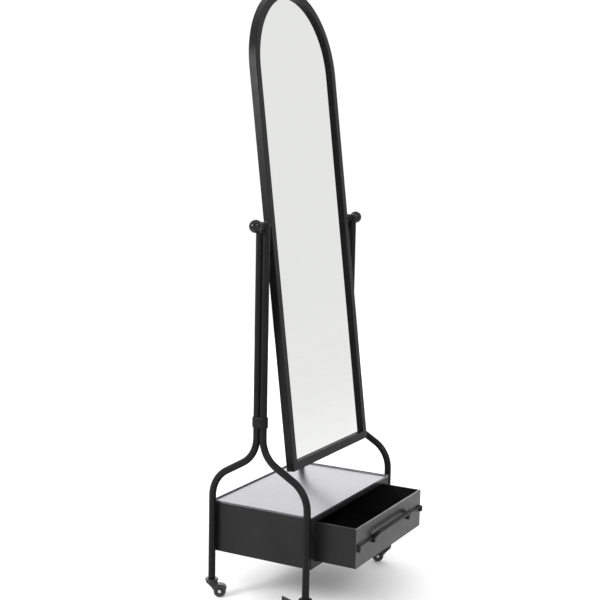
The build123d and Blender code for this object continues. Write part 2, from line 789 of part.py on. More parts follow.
def make_fork(name, frame, braked):
    """Swivel fork: a round crown, two cheeks and a hood over the wheel."""
    with BuildPart() as fork:
        with BuildSketch(frame.offset(crown_low_z)):
            Circle(crown_d / 2)
        extrude(amount=crown_h)
        fillet(fork.faces().sort_by(Axis.Z)[-1].edges(), crown_fillet)
        for offset in (-cheek_out, cheek_in):
            with BuildSketch(beside(frame, offset + cheek_t)):
                with Locations((trail, wheel_r)):
                    Circle(cheek_end_r)
                with Locations((0, crown_low_z + crown_h / 4)):
                    Rectangle(cheek_root_w, crown_h / 2)
                if braked:
                    with Locations((pedal_pin_x, pedal_pin_z)):
                        Circle(pedal_pin_d)
                make_hull()
            extrude(amount=cheek_t)
        hood_end = hood_end_braked if braked else hood_end_free
        hood_r = wheel_r + hood_gap
        with BuildSketch(beside(frame, cheek_out)):
            with BuildLine():
                inner = CenterArc((trail, wheel_r), hood_r, hood_end, hood_start - hood_end)
                outer = CenterArc((trail, wheel_r), hood_r + cheek_t, hood_end, hood_start - hood_end)
                Line(inner @ 0, outer @ 0)
                Line(inner @ 1, outer @ 1)
            make_face()
        extrude(amount=2 * cheek_out)
        with BuildSketch(frame.offset(crown_low_z)):
            Circle(kingpin_d / 2 + run_fit)
        extrude(amount=crown_h, mode=Mode.SUBTRACT)
        with BuildSketch(beside(frame, cheek_out)):
            with Locations((trail, wheel_r)):
                Circle(axle_d / 2 + push_fit)
            if braked:
                with Locations((pedal_pin_x, pedal_pin_z)):
                    Circle(pedal_pin_d / 2 + run_fit)
        extrude(amount=2 * cheek_out, mode=Mode.SUBTRACT)
        with BuildSketch(frame.offset(0)):
            Circle(kingpin_head_d / 2 + 2 * crown_gap)
        extrude(amount=crown_low_z, mode=Mode.SUBTRACT)
    publish(fork.part, f"{name}_fork")


def make_axle(name, frame):
    """Riveted axle with a head outside each cheek."""
    with BuildPart() as axle:
        with BuildSketch(beside(frame, cheek_out)):
            with Locations((trail, wheel_r)):
                Circle(axle_d / 2)
        extrude(amount=2 * cheek_out)
        for head_at in (cheek_out + rivet_t, -cheek_out):
            with BuildSketch(beside(frame, head_at)):
                with Locations((trail, wheel_r)):
                    Circle(rivet_d / 2)
            extrude(amount=rivet_t)
    publish(axle.part, f"{name}_axle")


def make_wheel(name, frame):
    """One-piece wheel with a rounded tread and a sunk ring in each side."""
    with BuildPart() as wheel:
        with BuildSketch(beside(frame, wheel_w / 2)):
            with Locations((trail, wheel_r)):
                Circle(wheel_r)
        extrude(amount=wheel_w)
        fillet(wheel.edges().filter_by(GeomType.CIRCLE), tread_fillet)
        for sunk_at in (wheel_w / 2, sunk_t - wheel_w / 2):
            with BuildSketch(beside(frame, sunk_at)):
                with Locations((trail, wheel_r)):
                    Circle(sunk_outer_r)
                    Circle(sunk_inner_r, mode=Mode.SUBTRACT)
            extrude(amount=sunk_t, mode=Mode.SUBTRACT)
        with BuildSketch(beside(frame, wheel_w / 2)):
            with Locations((trail, wheel_r)):
                Circle(axle_d / 2 + run_fit)
        extrude(amount=wheel_w, mode=Mode.SUBTRACT)
    publish(wheel.part, f"{name}_wheel")


def make_pedal(name, frame):
    """Brake pedal on a cross pin above the wheel, with a shoe that points at the tread."""
    pin = (pedal_pin_x, pedal_pin_z)
    rise = tan(radians(pedal_lift))
    toe = (pedal_reach, pedal_pin_z + (pedal_reach - pedal_pin_x) * rise)
    step = (pedal_step, pedal_pin_z + (pedal_step - pedal_pin_x) * rise)
    arm_w = 2 * (cheek_in - body_gap)
    shoe_angle = atan2(wheel_r - pin[1], trail - pin[0]) + radians(shoe_turn)
    shoe = (pin[0] + shoe_out * cos(shoe_angle), pin[1] + shoe_out * sin(shoe_angle))
    toe_top = (toe[0], toe[1] + pedal_t)
    with BuildPart() as pedal:
        with BuildSketch(beside(frame, arm_w / 2)):
            with BuildLine():
                Polyline(pin, toe, toe_top, (pin[0], pin[1] + pedal_t), close=True)
            make_face()
            with Locations(pin):
                Circle(knuckle_r)
            with Locations(shoe):
                Circle(shoe_r)
        extrude(amount=arm_w)
        with BuildSketch(beside(frame, pedal_w / 2)):
            with BuildLine():
                Polyline(step, toe, toe_top, (step[0], step[1] + pedal_t), close=True)
            make_face()
        extrude(amount=pedal_w)
        with BuildSketch(beside(frame, cheek_out)):
            with Locations(pin):
                Circle(pedal_pin_d / 2)
        extrude(amount=2 * cheek_out)
    publish(pedal.part, f"{name}_brake_pedal")


for name, (x_side, y_side, angle, braked) in casters.items():
    frame = caster_frame(x_side, y_side, angle)
    make_fork(name, frame, braked)
    make_axle(name, frame)
    make_wheel(name, frame)
    if braked:
        make_pedal(name, frame)
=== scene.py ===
import json
from math import atan2, cos, pi, radians, sin, sqrt

import bmesh
import bpy
from mathutils import Matrix, Vector

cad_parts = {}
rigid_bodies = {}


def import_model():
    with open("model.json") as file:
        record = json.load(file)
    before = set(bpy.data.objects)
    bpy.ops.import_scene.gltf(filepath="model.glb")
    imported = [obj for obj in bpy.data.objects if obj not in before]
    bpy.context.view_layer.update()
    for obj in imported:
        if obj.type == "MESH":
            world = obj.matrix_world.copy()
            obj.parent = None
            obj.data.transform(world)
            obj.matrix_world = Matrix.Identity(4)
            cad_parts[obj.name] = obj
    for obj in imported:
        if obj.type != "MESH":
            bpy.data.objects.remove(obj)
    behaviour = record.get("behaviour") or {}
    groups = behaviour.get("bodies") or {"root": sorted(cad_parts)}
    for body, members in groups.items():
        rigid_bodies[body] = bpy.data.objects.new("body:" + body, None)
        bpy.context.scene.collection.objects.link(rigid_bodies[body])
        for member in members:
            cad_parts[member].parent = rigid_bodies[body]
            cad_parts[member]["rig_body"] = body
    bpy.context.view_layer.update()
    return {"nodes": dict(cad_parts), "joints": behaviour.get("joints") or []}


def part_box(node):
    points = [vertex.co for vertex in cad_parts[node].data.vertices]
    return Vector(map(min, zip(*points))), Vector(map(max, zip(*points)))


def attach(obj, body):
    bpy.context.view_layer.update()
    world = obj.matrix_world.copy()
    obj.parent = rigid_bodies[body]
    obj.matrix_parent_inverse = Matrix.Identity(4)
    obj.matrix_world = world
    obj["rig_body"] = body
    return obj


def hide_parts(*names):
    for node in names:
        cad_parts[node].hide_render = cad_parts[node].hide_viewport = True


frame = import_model()
nodes = frame["nodes"]
joints = {joint["name"]: joint for joint in frame["joints"]}

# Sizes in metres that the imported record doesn't give. An ease is the width of a softened edge.
UPPER_BEND_R = 0.085
LOWER_BEND_R = 0.090
BEND_TURN = radians(60)
BEND_TOP_Z = 0.476
TUBE_WALL = 0.0015
MIRROR_TILT = radians(7.2)
FRAME_FACE = 0.023
FRAME_WALL = 0.002
FRAME_DEPTH = 0.023
GLASS_RECESS = 0.0104
PIVOT_DEPTH = 0.008
ARCH_UP = 0.420
MIRROR_BELOW = 0.670
GLASS_T = 0.004
GLASS_SEAT = 0.006
GLASS_EASE = 0.0004
BACKING_T = 0.003
BACKING_GAP = 0.0005
BACKING_EASE = 0.0003
PLATE_CORNER_R = 0.003
FRAME_SOFT = 0.0016
FRAME_CORNER_R = 0.0012
FRAME_INNER_CORNER_R = 0.0006
FRAME_BEVEL = 0.0003
ARCH_STEPS = 96

BEAD_R = 0.0012
BEAD_RIPPLE = 0.16
BEAD_PITCH = 1.3
COLLAR_SOFT = 0.0026
COLLAR_GAP = 0.0002
COLLAR_OVERLAP = 0.0006
CAP_DROP = 0.020
CAP_ROUND_R = 0.006
CAP_EASE = 0.0004
KNOB_NECK_R = 0.0075
KNOB_NECK_L = 0.0055
KNOB_NECK_EASE = 0.0006
KNOB_NECK_FLARE = 0.0015

MARK_IN = 0.010
MARK_R = 0.003
MARK_UP = 0.00025

GRIP_HALF = 0.118
GRIP_OUT = 0.010
GRIP_RISE = 0.013
GRIP_START = 0.003
GRIP_R = 0.006
GRIP_BEND_R = 0.012
CLAMP_W, CLAMP_H, CLAMP_T = 0.013, 0.022, 0.009
CLAMP_DROP = 0.004
CLAMP_SOFT = 0.0015
BOSS_W, BOSS_H, BOSS_T = 0.012, 0.019, 0.009
BOSS_DROP = 0.0065
BOSS_SOFT = 0.0025
BLOCK_EASE = 0.0004

SHEET_EASE = 0.0004
THIN_EASE = 0.0002
SMALL_EASE = 0.0004
SPACER_EASE = 0.0005
CAST_EASE = 0.0006
PEDAL_EASE = 0.0007
TINY = 1e-6
BEVEL_SEGMENTS = 3
BEVEL_ANGLE = radians(38)
SHARP_ANGLE = radians(30)
FLAT_ANGLE = radians(1.0)

PEDAL_LIFT = radians(24)
PEDAL_T = 0.003
RIB_START = 0.0155
RIB_PITCH = 0.0055
RIB_HALF = 0.0105
RIB_R = 0.0007
RIB_COUNT = 4
WHEEL_W = 0.014
TREAD_R = 0.003
# One face of a wheel from its bore through hub and web to its rim, as (how far in, radius).
WHEEL_FACE = ((0.002, 0.00305), (0.0002, 0.0034), (0.0, 0.0052), (0.0004, 0.006),
              (0.0018, 0.0066), (0.002, 0.0075), (0.002, 0.0108), (0.0016, 0.0116),
              (0.0002, 0.0121), (0.0, 0.0128))
WHEEL_GAP = 0.001
FORK_T = 0.0022
RIVET_R = 0.003
RIVET_HEAD = 0.0015
# A rivet's domed head as (how far up its height, radius).
RIVET_DOME = ((0.0, 0.0045), (0.75, 0.0034), (1.0, 0.0016), (1.0, 0.0))
SOCKET_LOW_Z = 0.0475
SOCKET_HIGH_Z = 0.0535
SOCKET_R = 0.0185
SOCKET_SOFT = 0.0018
KINGPIN_R = 0.004
# The kingpin's riveted end under the socket's disc, as (how far below the disc, radius).
KINGPIN_END = ((0.0075, 0.0), (0.0075, 0.005), (0.0072, 0.0055), (0.0062, 0.0055), (0.006, 0.0052))
KINGPIN_NECK = 0.006
PLUG_SEAT_R = 0.0128
PLUG_SEAT_UP = 0.0001
PLUG_R = 0.0084
PLUG_L = 0.032
PLUG_CHAMFER = 0.001

PIVOT = Vector(joints["mirror_tilt"]["pos_m"])
MID_Y = PIVOT.y
MIRROR_HALF_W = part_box("mirror_frame")[1].x
LEAN = Matrix.Translation(PIVOT) @ Matrix.Rotation(-MIRROR_TILT, 4, "X") @ Matrix.Translation(-PIVOT)
QUARTER_TURN = [pi * i / 8 for i in range(5)]


# ---- materials ----------------------------------------------------------------------------
class Nodes:
    """Short ways to build one material's node tree."""

    def __init__(self, name):
        self.material = bpy.data.materials.new(name)
        self.material.use_nodes = True
        self.tree = self.material.node_tree
        self.shader = self.tree.nodes["Principled BSDF"]
        self.coords = self.tree.nodes.new("ShaderNodeTexCoord").outputs["Object"]

    def link(self, source, target):
        self.tree.links.new(source, target)

    def noise(self, scale, detail=3.0, roughness=0.55):
        node = self.tree.nodes.new("ShaderNodeTexNoise")
        node.inputs["Scale"].default_value = scale
        node.inputs["Detail"].default_value = detail
        node.inputs["Roughness"].default_value = roughness
        self.link(self.coords, node.inputs["Vector"])
        return node.outputs["Fac"]

    def stretched_noise(self, stretch, scale, detail=2.0):
        """Noise drawn out along the axes whose stretch is small."""
        mapping = self.tree.nodes.new("ShaderNodeMapping")
        mapping.inputs["Scale"].default_value = stretch
        self.link(self.coords, mapping.inputs["Vector"])
        node = self.tree.nodes.new("ShaderNodeTexNoise")
        node.inputs["Scale"].default_value = scale
        node.inputs["Detail"].default_value = detail
        self.link(mapping.outputs["Vector"], node.inputs["Vector"])
        return node.outputs["Fac"]

    def spread(self, source, low, high, from_low=0.3, from_high=0.7):
        node = self.tree.nodes.new("ShaderNodeMapRange")
        node.inputs["From Min"].default_value = from_low
        node.inputs["From Max"].default_value = from_high
        node.inputs["To Min"].default_value = low
        node.inputs["To Max"].default_value = high
        self.link(source, node.inputs["Value"])
        return node.outputs["Result"]

    def mix(self, factor, dark, light):
        node = self.tree.nodes.new("ShaderNodeMix")
        node.data_type = "RGBA"
        self.link(factor, node.inputs["Factor"])
        for socket, colour in (("A", dark), ("B", light)):
            target = [i for i in node.inputs if i.name == socket and i.type == "RGBA"][0]
            if isinstance(colour, tuple):
                target.default_value = (*colour, 1)
            else:
                self.link(colour, target)
        return [o for o in node.outputs if o.type == "RGBA"][0]

    def edge_mask(self, width, low=0.02, high=0.25):
        """1 on convex and concave edges, 0 on flat faces."""
        bevel = self.tree.nodes.new("ShaderNodeBevel")
        bevel.samples = 6
        bevel.inputs["Radius"].default_value = width
        geometry = self.tree.nodes.new("ShaderNodeNewGeometry")
        dot = self.tree.nodes.new("ShaderNodeVectorMath")
        dot.operation = "DOT_PRODUCT"
        self.link(bevel.outputs["Normal"], dot.inputs[0])
        self.link(geometry.outputs["True Normal"], dot.inputs[1])
        flip = self.tree.nodes.new("ShaderNodeMath")
        flip.operation = "SUBTRACT"
        flip.inputs[0].default_value = 1.0
        self.link(dot.outputs["Value"], flip.inputs[1])
        return self.spread(flip.outputs["Value"], 0.0, 1.0, low, high)

    def multiply(self, first, second):
        node = self.tree.nodes.new("ShaderNodeMath")
        node.operation = "MULTIPLY"
        self.link(first, node.inputs[0])
        self.link(second, node.inputs[1])
        return node.outputs["Value"]

    def bump(self, height, distance, under=None):
        node = self.tree.nodes.new("ShaderNodeBump")
        node.inputs["Distance"].default_value = distance
        self.link(height, node.inputs["Height"])
        if under is not None:
            self.link(under, node.inputs["Normal"])
        return node.outputs["Normal"]

    def set(self, socket, value):
        self.shader.inputs[socket].default_value = value

    def feed(self, socket, source):
        self.link(source, self.shader.inputs[socket])


def powder_coat(name, dark, light, rough, peel_height, edge, specular):
    """Black powder coat: orange peel, cloudy gloss and a painted highlight that lightens the edges."""
    m = Nodes(name)
    clouds = m.spread(m.noise(9.0, 4.0), 0.0, 1.0)
    base = m.mix(clouds, dark, light)
    # Painted highlight: edges, convex and concave, are lightened towards the edge colour in patches.
    painted_edge_highlight = m.multiply(m.edge_mask(0.0012), m.spread(m.noise(60.0), 0.25, 1.0))
    m.feed("Base Color", m.mix(painted_edge_highlight, base, edge))
    m.feed("Roughness", m.spread(m.noise(34.0, 5.0), rough - 0.05, rough + 0.06))
    peel = m.bump(m.noise(620.0, 2.0), peel_height)
    m.feed("Normal", m.bump(m.noise(90.0, 2.0), peel_height * 1.5, under=peel))
    m.set("Specular IOR Level", specular)
    return m.material


def gloss_top(name):
    """Smooth, shiny black lacquer of the cabinet's top, with faint rub marks and a painted highlight on
    its rim.
    """
    m = Nodes(name)
    clouds = m.spread(m.noise(5.0, 4.0), 0.0, 1.0)
    lacquer = m.mix(clouds, (0.022, 0.022, 0.025), (0.036, 0.036, 0.040))
    # Painted highlight: the rim is lightened towards a pale grey in patches.
    painted_edge_highlight = m.multiply(m.edge_mask(0.004), m.spread(m.noise(60.0), 0.5, 1.0))
    m.feed("Base Color", m.mix(painted_edge_highlight, lacquer, (0.16, 0.16, 0.165)))
    rubs = m.stretched_noise((0.35, 4.0, 1.0), 22.0, 4.0)
    m.feed("Roughness", m.spread(rubs, 0.21, 0.25))
    m.feed("Normal", m.bump(m.noise(160.0, 2.0), 0.00002))
    m.set("IOR", 1.5)
    m.set("Coat Weight", 0.2)
    m.set("Coat Roughness", 0.2)
    return m.material


def knob_gloss(name):
    """Polished black ball with fine polishing lines and a few dull finger marks."""
    m = Nodes(name)
    clouds = m.spread(m.noise(30.0), 0.0, 1.0)
    m.feed("Base Color", m.mix(clouds, (0.003, 0.003, 0.0033), (0.006, 0.006, 0.0064)))
    m.feed("Roughness", m.spread(m.noise(70.0, 4.0), 0.1, 0.22))
    m.feed("Normal", m.bump(m.stretched_noise((1.0, 0.2, 0.2), 1500.0), 0.000006))
    m.set("Specular IOR Level", 0.22)
    return m.material


def silvered_glass(name):
    """Mirror glass: a very slightly green silver with faint smears."""
    m = Nodes(name)
    clouds = m.spread(m.noise(1.6, 2.0), 0.0, 1.0)
    m.feed("Base Color", m.mix(clouds, (0.73, 0.74, 0.728), (0.755, 0.762, 0.75)))
    m.feed("Roughness", m.spread(m.noise(14.0, 5.0, 0.7), 0.0, 0.02, 0.45, 0.8))
    m.feed("Normal", m.bump(m.noise(2.2, 1.0), 0.00002))
    m.set("Metallic", 1.0)
    m.set("Coat Weight", 0.3)
    m.set("Coat Roughness", 0.0)
    return m.material


def fibreboard(name):
    """Dark, pressed backing board with short fibres."""
    m = Nodes(name)
    fibres = m.stretched_noise((1.0, 1.0, 0.25), 420.0, 4.0)
    m.feed("Base Color", m.mix(m.spread(fibres, 0.0, 1.0), (0.03, 0.026, 0.022), (0.075, 0.064, 0.052)))
    m.feed("Roughness", m.spread(m.noise(60.0), 0.7, 0.9))
    m.feed("Normal", m.bump(fibres, 0.0002))
    return m.material


def zinc(name):
    """Zinc-plated steel with a faint grain and cloudy passivation."""
    m = Nodes(name)
    clouds = m.spread(m.noise(45.0, 4.0), 0.0, 1.0)
    m.feed("Base Color", m.mix(clouds, (0.40, 0.41, 0.43), (0.62, 0.62, 0.61)))
    m.feed("Roughness", m.spread(m.noise(120.0, 4.0), 0.25, 0.45))
    m.feed("Normal", m.bump(m.stretched_noise((1.0, 0.1, 0.1), 1600.0), 0.00001))
    m.set("Metallic", 1.0)
    return m.material


def moulded(name, dark, light, rough):
    """Moulded plastic or rubber with a fine skin texture and scuffs."""
    m = Nodes(name)
    scuffs = m.spread(m.noise(110.0, 5.0, 0.7), 0.0, 1.0, 0.5, 0.72)
    m.feed("Base Color", m.mix(scuffs, dark, light))
    m.feed("Roughness", m.spread(m.noise(200.0, 3.0), rough - 0.08, rough + 0.1))
    m.feed("Normal", m.bump(m.noise(1300.0, 2.0), 0.00002))
    return m.material


BLACK = powder_coat("satin_black_powder_coat", (0.004, 0.004, 0.0042), (0.007, 0.007, 0.0073),
                    rough=0.36, peel_height=0.00003, edge=(0.02, 0.02, 0.021), specular=0.1)
SHEET_BLACK = powder_coat("sheet_black_powder_coat", (0.005, 0.005, 0.0052), (0.009, 0.0089, 0.0087),
                          rough=0.42, peel_height=0.00003, edge=(0.05, 0.05, 0.052), specular=0.17)
TOP = gloss_top("gloss_black_top")
KNOB = knob_gloss("polished_black_knob")
MIRROR = silvered_glass("silvered_glass")
BOARD = fibreboard("dark_fibreboard")
ZINC = zinc("zinc_steel")
NYLON = moulded("black_nylon", (0.02, 0.02, 0.02), (0.04, 0.04, 0.04), 0.5)
RUBBER = moulded("buffer_rubber", (0.012, 0.012, 0.012), (0.03, 0.03, 0.03), 0.75)
WHEEL = moulded("scuffed_wheel", (0.018, 0.018, 0.018), (0.09, 0.088, 0.085), 0.45)
PEDAL = moulded("moulded_pedal", (0.014, 0.014, 0.014), (0.035, 0.035, 0.035), 0.42)
# Painted light: the drawer front gets a lighter, shinier copy of the black coat with a bright edge
# colour, standing in for light falling on the front and its top lip.
LIT_DRAWER_FRONT = powder_coat("drawer_front_lit_powder_coat", (0.010, 0.010, 0.0102), (0.017, 0.0168, 0.0165),
                    rough=0.38, peel_height=0.00003, edge=(0.12, 0.12, 0.122), specular=0.42)
CASTER = powder_coat("caster_black", (0.006, 0.006, 0.0062), (0.011, 0.011, 0.0113),
                     rough=0.34, peel_height=0.00002, edge=(0.04, 0.04, 0.04), specular=0.35)


# ---- mesh helpers -------------------------------------------------------------------------
def piece(name, points, faces, material, body, stands_for=(), smooth_angle=32, bevel=0.0):
    """A closed mesh piece, smooth apart from its edges, that rides on a CAD body."""
    mesh = bpy.data.meshes.new(name)
    mesh.from_pydata([tuple(p) for p in points], [], faces)
    work = bmesh.new()
    work.from_mesh(mesh)
    bmesh.ops.remove_doubles(work, verts=work.verts, dist=TINY)
    bmesh.ops.recalc_face_normals(work, faces=work.faces)
    work.to_mesh(mesh)
    work.free()
    mesh.shade_smooth()
    mesh.set_sharp_from_angle(angle=radians(smooth_angle))
    obj = bpy.data.objects.new(name, mesh)
    bpy.context.scene.collection.objects.link(obj)
    mesh.materials.append(material)
    if bevel:
        round_edges(obj, bevel)
    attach(obj, body)
    if stands_for:
        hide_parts(*stands_for)


def round_edges(obj, width):
    """Bevel the sharp edges and even out the shading."""
    rounding = obj.modifiers.new("rounding", "BEVEL")
    rounding.width = width
    rounding.segments = BEVEL_SEGMENTS
    rounding.limit_method = "ANGLE"
    rounding.angle_limit = BEVEL_ANGLE
    rounding.use_clamp_overlap = True
    rounding.harden_normals = False
    shading = obj.modifiers.new("shading", "WEIGHTED_NORMAL")
    shading.keep_sharp = False


def loft(rings, loop=False):
    """Points and faces of equal rings joined one after another, closed by end faces or into a loop."""
    count = len(rings[0])
    points = [p for ring in rings for p in ring]
    faces = []
    spans = len(rings) if loop else len(rings) - 1
    for i in range(spans):
        a, b = i * count, ((i + 1) % len(rings)) * count
        for j in range(count):
            k = (j + 1) % count
            faces.append((a + j, a + k, b + k, b + j))
    if not loop:
        faces.append(tuple(range(count))[::-1])
        faces.append(tuple(range(len(points) - count, len(points))))
    return points, faces


def lathe(profile, origin, axis, steps=48):
    """Revolve (along, radius) points about an axis. Ends with radius 0 close to a point."""
    axis = Vector(axis).normalized()
    side = axis.orthogonal().normalized()
    other = axis.cross(side)
    points, faces, rings = [], [], []
    for along, radius in profile:
        centre = Vector(origin) + axis * along
        if radius < TINY:
            rings.append([len(points)])
            points.append(centre)
            continue
        rings.append(list(range(len(points), len(points) + steps)))
        for i in range(steps):
            turn = 2 * pi * i / steps
            points.append(centre + (side * cos(turn) + other * sin(turn)) * radius)
    for a, b in zip(rings, rings[1:]):
        for i in range(steps):
            k = (i + 1) % steps
            if len(a) == 1 and len(b) == 1:
                continue
            if len(a) == 1:
                faces.append((a[0], b[k], b[i]))
            elif len(b) == 1:
                faces.append((a[i], a[k], b[0]))
            else:
                faces.append((a[i], a[k], b[k], b[i]))
    return points, faces


def arc(centre_along, centre_r, radius, start, end, steps=8):
    """Profile points on an arc, angles in degrees from the axis direction."""
    out = []
    for i in range(steps + 1):
        angle = radians(start + (end - start) * i / steps)
        out.append((centre_along + radius * cos(angle), centre_r + radius * sin(angle)))
    return out


def sweep(path, radius, steps=32, inner=0.0):
    """Round bar or tube along a path of points in one plane, with rounded-over ends."""
    path = [Vector(p) for p in path]
    ahead = [(b - a).normalized() for a, b in zip(path, path[1:])]
    tangents = [ahead[0]] + [(a + b).normalized() for a, b in zip(ahead, ahead[1:])] + [ahead[-1]]
    flat = max((ahead[0].cross(t) for t in ahead), key=lambda v: v.length)
    out_of_plane = flat.normalized() if flat.length > TINY else ahead[0].orthogonal().normalized()

    def ring(centre, tangent, r):
        side = tangent.cross(out_of_plane).normalized()
        return [centre + (out_of_plane * cos(2 * pi * i / steps) + side * sin(2 * pi * i / steps)) * r
                for i in range(steps)]

    round_over = min(radius * 0.12, 0.0008)
    rings = [ring(path[0], tangents[0], radius - round_over)]
    rings.append(ring(path[0] + tangents[0] * round_over, tangents[0], radius))
    rings += [ring(p, t, radius) for p, t in zip(path[1:-1], tangents[1:-1])]
    rings.append(ring(path[-1] - tangents[-1] * round_over, tangents[-1], radius))
    rings.append(ring(path[-1], tangents[-1], radius - round_over))
    if not inner:
        return loft(rings)
    rings.append(ring(path[-1], tangents[-1], inner))
    rings += [ring(p, t, inner) for p, t in zip(path[-2:0:-1], tangents[-2:0:-1])]
    rings.append(ring(path[0], tangents[0], inner))
    return loft(rings, loop=True)


def stadium(centre, half, radius, z, steps=20):
    """Outline of two tubes side by side along Y, at one height."""
    ring = []
    for sign, start in ((1, 0.0), (-1, pi)):
        for i in range(steps + 1):
            turn = start + pi * i / steps
            x, y = centre[0] + radius * cos(turn), centre[1] + sign * half + radius * sin(turn)
            ring.append(Vector((x, y, z)))
    return ring


def joined(shapes):
    """Several shapes' points and faces as one."""
    points, faces = [], []
    for more_points, more_faces in shapes:
        start = len(points)
        points += [tuple(p) for p in more_points]
        faces += [tuple(start + i for i in face) for face in more_faces]
    return points, faces


def refined(node, material, bevel):
    """A CAD node's own shape as a clean mesh with rounded edges."""
    source = nodes[node]
    work = bmesh.new()
    work.from_mesh(source.data)
    bmesh.ops.remove_doubles(work, verts=work.verts, dist=TINY)
    bmesh.ops.dissolve_limit(work, angle_limit=FLAT_ANGLE, verts=work.verts, edges=work.edges)
    mesh = bpy.data.meshes.new(node + "_sheet")
    work.to_mesh(mesh)
    work.free()
    mesh.materials.clear()
    mesh.materials.append(material)
    mesh.shade_smooth()
    mesh.set_sharp_from_angle(angle=SHARP_ANGLE)
    obj = bpy.data.objects.new(node + "_finished", mesh)
    bpy.context.scene.collection.objects.link(obj)
    round_edges(obj, bevel)
    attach(obj, source["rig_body"])
    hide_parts(node)


def paint(node, material):
    """Give a carried-over CAD node its finish."""
    mesh = nodes[node].data
    mesh.materials.clear()
    mesh.materials.append(material)


# ---- stand --------------------------------------------------------------------------------
def leg(node):
    """One bent tube, from its caster to the pivot head."""
    low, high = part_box(node)
    x, r = (low.x + high.x) / 2, (high.x - low.x) / 2
    facing = -1 if low.y + high.y < 2 * MID_Y else 1
    foot_y = (high.y - r) if facing > 0 else (low.y + r)
    post_y = (low.y + r) if facing > 0 else (high.y - r)
    run_out = abs(foot_y - post_y)
    slope_l = (run_out - (UPPER_BEND_R + LOWER_BEND_R) * (1 - cos(BEND_TURN))) / sin(BEND_TURN)
    outline = [(post_y, high.z), (post_y, BEND_TOP_Z)]
    steps = 22
    for i in range(1, steps + 1):
        turn = BEND_TURN * i / steps
        y = post_y + facing * UPPER_BEND_R * (1 - cos(turn))
        outline.append((y, BEND_TOP_Z - UPPER_BEND_R * sin(turn)))
    y, z = outline[-1]
    y += facing * slope_l * sin(BEND_TURN)
    z -= slope_l * cos(BEND_TURN)
    centre_y = y - facing * LOWER_BEND_R * cos(BEND_TURN)
    centre_z = z - LOWER_BEND_R * sin(BEND_TURN)
    for i in range(steps + 1):
        turn = BEND_TURN * (1 - i / steps)
        y = centre_y + facing * LOWER_BEND_R * cos(turn)
        outline.append((y, centre_z + LOWER_BEND_R * sin(turn)))
    outline.append((foot_y, low.z))
    points, faces = sweep([(x, y, z) for y, z in outline], r, 40, r - TUBE_WALL)
    piece(node + "_tube", points, faces, BLACK, "stand", [node])


for side in ("left", "right"):
    for end in ("front", "back"):
        leg(f"{side}_{end}_leg")

tube_r = (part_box("left_front_leg")[1].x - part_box("left_front_leg")[0].x) / 2
leg_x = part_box("right_front_leg")[1].x - tube_r
twin_half = (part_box("left_pivot_head")[1].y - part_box("left_pivot_head")[0].y) / 2 - tube_r


def weld_bead(x, z):
    """Rippled bead round both tubes of a post, at one height."""
    rings = []
    for i in range(12):
        turn = 2 * pi * i / 12
        out, up = BEAD_R * cos(turn), BEAD_R * sin(turn)
        outline = stadium((x, MID_Y), twin_half, tube_r + out, z + up, 48)
        centre_line = stadium((x, MID_Y), twin_half, tube_r, z, 48)
        rings.append([c + (p - c) * (1 + BEAD_RIPPLE * sin(k * BEAD_PITCH))
                      for k, (p, c) in enumerate(zip(outline, centre_line))])
    return loft(rings, loop=True)


def collars():
    """Rounded sleeves over the twin tubes, with a weld bead at each end."""
    low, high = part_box("post_collars")
    for side, x in (("left", -leg_x), ("right", leg_x)):
        outer = (high.y - low.y) / 2 - twin_half
        soft = COLLAR_SOFT
        levels = [(low.z, tube_r + COLLAR_GAP), (low.z, outer - soft)]
        levels += [(low.z + soft * (1 - cos(t)), outer - soft * (1 - sin(t)))
                   for t in QUARTER_TURN[1:-1]]
        levels.append((low.z + soft, outer))
        levels += [(low.z + high.z - z, r) for z, r in reversed(levels)]
        rings = [stadium((x, MID_Y), twin_half, r, z) for z, r in levels]
        inside = [stadium((x, MID_Y), twin_half, tube_r - COLLAR_OVERLAP, z) for z in (high.z, low.z)]
        points, faces = loft(rings + inside, loop=True)
        stands_for = ["post_collars"] if side == "left" else ()
        piece(f"{side}_post_collar", points, faces, BLACK, "stand", stands_for)
        for edge, z in (("lower", low.z), ("upper", high.z)):
            points, faces = weld_bead(x, z)
            piece(f"{side}_collar_{edge}_weld", points, faces, BLACK, "stand")


def head(side, x):
    """Cast cap over the twin tubes with a softly rounded top."""
    low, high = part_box(f"{side}_pivot_head")
    seat_z = PIVOT.z - CAP_DROP
    round_r = CAP_ROUND_R
    levels = [(seat_z, tube_r - CAP_EASE), (seat_z + CAP_EASE, tube_r)]
    for i in range(9):
        turn = pi / 2 * i / 8
        levels.append((high.z - round_r + round_r * sin(turn), tube_r - round_r * (1 - cos(turn))))
    rings = [stadium((x, MID_Y), twin_half, r, z) for z, r in levels]
    points, faces = loft(rings)
    piece(f"{side}_pivot_cap", points, faces, BLACK, "stand", [f"{side}_pivot_head"], smooth_angle=40)


collars()
head("left", -leg_x)
head("right", leg_x)



